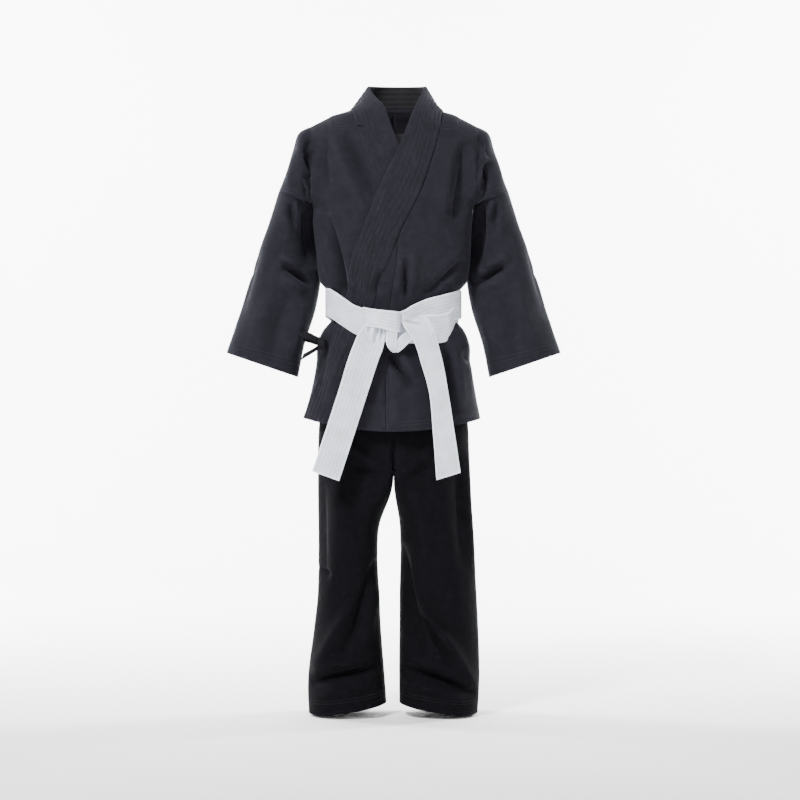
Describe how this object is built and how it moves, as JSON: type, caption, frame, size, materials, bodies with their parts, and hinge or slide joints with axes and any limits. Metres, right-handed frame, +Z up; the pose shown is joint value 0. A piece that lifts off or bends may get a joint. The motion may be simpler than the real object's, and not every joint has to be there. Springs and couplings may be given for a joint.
{
  "type": "martial arts uniform",
  "caption": "Child's karate uniform: black wrap jacket closed with a tied white belt, over straight black trousers.",
  "frame": {"origin": "the nape: where the back neck band meets the back of the jacket, on the centre line of the neck", "axes": "+Z up, -Y out of the front of the uniform, +X towards the wearer's left"},
  "size_m": [0.472, 0.1528, 0.8797],
  "materials": {
    "jacket_cloth": "black cotton twill, matt",
    "trouser_cloth": "black cotton twill, matt",
    "belt_cloth": "white cotton, quilted with lengthwise stitching",
    "tape": "black cotton tape",
    "elastic": "ribbed elastic",
    "label": "plain woven label"
  },
  "bodies": {
    "jacket": {"back_panel_left": "jacket_cloth", "back_panel_right": "jacket_cloth", "front_panel_left": "jacket_cloth", "front_panel_right": "jacket_cloth", "overlap_panel_left": "jacket_cloth", "overlap_panel_right": "jacket_cloth", "lapel_left": "jacket_cloth", "lapel_right": "jacket_cloth", "neck_band": "jacket_cloth", "shoulder_patch_left": "jacket_cloth", "shoulder_patch_right": "jacket_cloth", "neck_label": "label", "inner_tie": "tape", "tie_bow_loop": "tape", "tie_bow_end": "tape", "belt_wrap_inner": "belt_cloth", "belt_wrap_outer": "belt_cloth", "knot_band": "belt_cloth", "knot_loop": "belt_cloth", "knot_fold": "belt_cloth"},
    "belt_tail_left": {"belt_tail_left": "belt_cloth"},
    "belt_tail_right": {"belt_tail_right": "belt_cloth"},
    "sleeve_left": {"shoulder_cap_left": "jacket_cloth", "sleeve_left": "jacket_cloth", "cuff_facing_left": "jacket_cloth"},
    "sleeve_right": {"shoulder_cap_right": "jacket_cloth", "sleeve_right": "jacket_cloth", "cuff_facing_right": "jacket_cloth"},
    "trousers": {"waistband": "trouser_cloth", "waist_elastic": "elastic", "seat_front_left": "trouser_cloth", "seat_front_right": "trouser_cloth", "seat_back_left": "trouser_cloth", "seat_back_right": "trouser_cloth", "crotch_gusset": "trouser_cloth"},
    "leg_left": {"leg_front_left": "trouser_cloth", "leg_back_left": "trouser_cloth", "leg_hem_left": "trouser_cloth"},
    "leg_right": {"leg_front_right": "trouser_cloth", "leg_back_right": "trouser_cloth", "leg_hem_right": "trouser_cloth"}
  },
  "joints": [
    {"name": "sleeve_left_raise", "type": "hinge", "parent": "jacket", "child": "sleeve_left", "pos_m": [0.117, 0, -0.0225], "axis": [0, -1, 0], "range_deg": [0, 70]},
    {"name": "sleeve_right_raise", "type": "hinge", "parent": "jacket", "child": "sleeve_right", "pos_m": [-0.117, 0, -0.0225], "axis": [0, 1, 0], "range_deg": [0, 70]},
    {"name": "belt_tail_left_swing", "type": "hinge", "parent": "jacket", "child": "belt_tail_left", "pos_m": [0.046, -0.069, -0.3225], "axis": [-1, 0, 0], "range_deg": [0, 60]},
    {"name": "belt_tail_right_swing", "type": "hinge", "parent": "jacket", "child": "belt_tail_right", "pos_m": [-0.0325, -0.069, -0.3225], "axis": [-1, 0, 0], "range_deg": [0, 60]},
    {"name": "trousers_pull_down", "type": "slide", "parent": "jacket", "child": "trousers", "axis": [0, 0, -1], "range_m": [0, 0.3]},
    {"name": "leg_left_swing", "type": "hinge", "parent": "trousers", "child": "leg_left", "pos_m": [0.058, 0.003, -0.556], "axis": [-1, 0, 0], "range_deg": [0, 45]},
    {"name": "leg_right_swing", "type": "hinge", "parent": "trousers", "child": "leg_right", "pos_m": [-0.058, 0.003, -0.556], "axis": [-1, 0, 0], "range_deg": [0, 45]}
  ]
}
